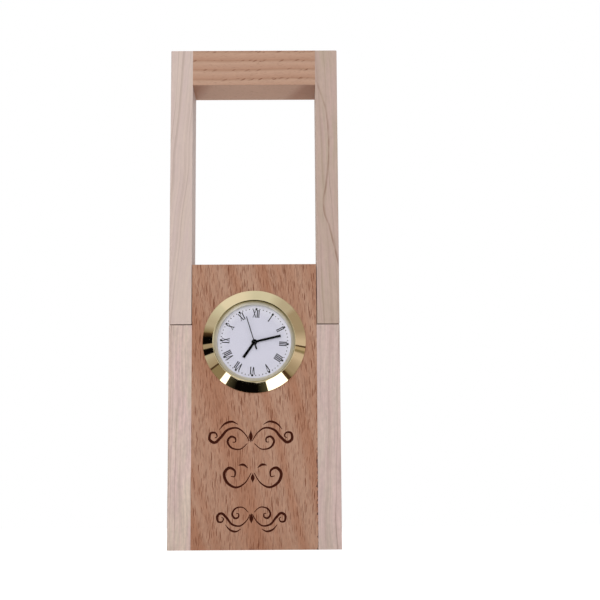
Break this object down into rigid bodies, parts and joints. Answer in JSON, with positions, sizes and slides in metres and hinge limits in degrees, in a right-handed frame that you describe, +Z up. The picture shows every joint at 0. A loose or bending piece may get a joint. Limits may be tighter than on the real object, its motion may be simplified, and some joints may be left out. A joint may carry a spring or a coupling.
{
  "type": "pen holder clock",
  "caption": "Upright wooden desk block with a folding open frame above and a round brass-rimmed quartz clock set in its face; pens stand in the frame.",
  "frame": {"origin": "middle of the underside of the wooden board", "axes": "+Z up along the board, the clock face looks towards -Y, +X to the right of someone facing it"},
  "size_m": [0.0604, 0.0208, 0.18],
  "materials": {
    "beech": "satin lacquer",
    "maple": "satin lacquer",
    "dowel_wood": "bare",
    "pin_steel": "ground",
    "movement_steel": "stamped",
    "polished_brass": "polished",
    "contact_brass": "stamped",
    "clear_lens": "clear moulded acrylic",
    "dial_enamel": "matt lacquer",
    "black_hands": "satin lacquer",
    "black_plastic": "moulded",
    "white_plastic": "moulded",
    "band_rubber": "moulded",
    "copper_wire": "enamelled wire",
    "circuit_fibre": "solder mask"
  },
  "bodies": {
    "board": {"clock_panel": "beech", "lower_rail_left": "maple", "lower_rail_right": "maple", "pivot_pin_left": "pin_steel", "pivot_pin_right": "pin_steel"},
    "swing_frame": {"frame_arm_left": "maple", "frame_arm_right": "maple", "frame_top_bar": "beech", "bar_dowel_left": "dowel_wood", "bar_dowel_right": "dowel_wood"},
    "clock_insert": {"bezel_ring": "polished_brass", "lens": "clear_lens", "dial_ring": "polished_brass", "dial": "dial_enamel", "case_front": "black_plastic", "case_back": "black_plastic", "friction_band": "band_rubber", "train_bridge": "white_plastic", "bridge_screw_1": "movement_steel", "bridge_screw_2": "movement_steel", "bridge_screw_3": "movement_steel", "stator_plate": "movement_steel", "coil_core": "movement_steel", "coil_bobbin": "white_plastic", "coil_winding": "copper_wire", "circuit_board": "circuit_fibre", "quartz_can": "movement_steel", "timing_chip": "black_plastic", "button_cell": "movement_steel", "plus_contact": "contact_brass", "minus_contact": "contact_brass"},
    "seconds_gear": {"second_hand": "black_hands", "seconds_wheel": "white_plastic"},
    "third_gear": {"third_wheel": "white_plastic"},
    "centre_gear": {"centre_wheel": "contact_brass"},
    "step_gear": {"step_wheel": "white_plastic"},
    "rotor": {"rotor_pinion": "white_plastic", "rotor_magnet": "movement_steel"},
    "minute_gear": {"minute_hand": "black_hands", "minute_pipe": "contact_brass", "clutch_spring": "contact_brass"},
    "hour_gear": {"hour_hand": "black_hands", "hour_wheel": "white_plastic"},
    "motion_gear": {"motion_wheel": "white_plastic"},
    "setting_gear": {"setting_shaft": "white_plastic", "setting_knob": "black_plastic"}
  },
  "joints": [
    {"name": "frame_fold", "type": "hinge", "parent": "board", "child": "swing_frame", "pos_m": [0, 0.004, 0.0895], "axis": [-1, 0, 0], "range_deg": [0, 130]},
    {"name": "insert_pull", "type": "slide", "parent": "board", "child": "clock_insert", "axis": [0, -1, 0], "range_m": [0, 0.014]},
    {"name": "seconds_turn", "type": "hinge", "parent": "clock_insert", "child": "seconds_gear", "pos_m": [0, -0.009, 0.0725], "axis": [0, 1, 0], "continuous": true},
    {"name": "third_turn", "type": "hinge", "parent": "clock_insert", "child": "third_gear", "pos_m": [-0.00574, -0.009, 0.06967], "axis": [0, 1, 0], "continuous": true},
    {"name": "centre_turn", "type": "hinge", "parent": "clock_insert", "child": "centre_gear", "pos_m": [0, -0.009, 0.0725], "axis": [0, 1, 0], "continuous": true},
    {"name": "step_turn", "type": "hinge", "parent": "clock_insert", "child": "step_gear", "pos_m": [0.00157, -0.009, 0.07891], "axis": [0, 1, 0], "continuous": true},
    {"name": "rotor_turn", "type": "hinge", "parent": "clock_insert", "child": "rotor", "pos_m": [0.00537, -0.009, 0.08002], "axis": [0, 1, 0], "continuous": true},
    {"name": "minute_turn", "type": "hinge", "parent": "clock_insert", "child": "minute_gear", "pos_m": [0, -0.009, 0.0725], "axis": [0, 1, 0], "continuous": true},
    {"name": "hour_turn", "type": "hinge", "parent": "clock_insert", "child": "hour_gear", "pos_m": [0, -0.009, 0.0725], "axis": [0, 1, 0], "continuous": true},
    {"name": "motion_turn", "type": "hinge", "parent": "clock_insert", "child": "motion_gear", "pos_m": [0.00265, -0.009, 0.06712], "axis": [0, 1, 0], "continuous": true},
    {"name": "setting_turn", "type": "hinge", "parent": "clock_insert", "child": "setting_gear", "pos_m": [0.00841, -0.009, 0.0688], "axis": [0, 1, 0], "continuous": true}
  ],
  "couplings": [
    {"joint": "third_turn", "follows": "seconds_turn", "ratio": -0.13333},
    {"joint": "centre_turn", "follows": "seconds_turn", "ratio": 0.016667},
    {"joint": "step_turn", "follows": "seconds_turn", "ratio": -6},
    {"joint": "rotor_turn", "follows": "seconds_turn", "ratio": 30},
    {"joint": "motion_turn", "follows": "minute_turn", "ratio": -0.33333},
    {"joint": "hour_turn", "follows": "minute_turn", "ratio": 0.083333},
    {"joint": "setting_turn", "follows": "minute_turn", "ratio": 1}
  ]
}
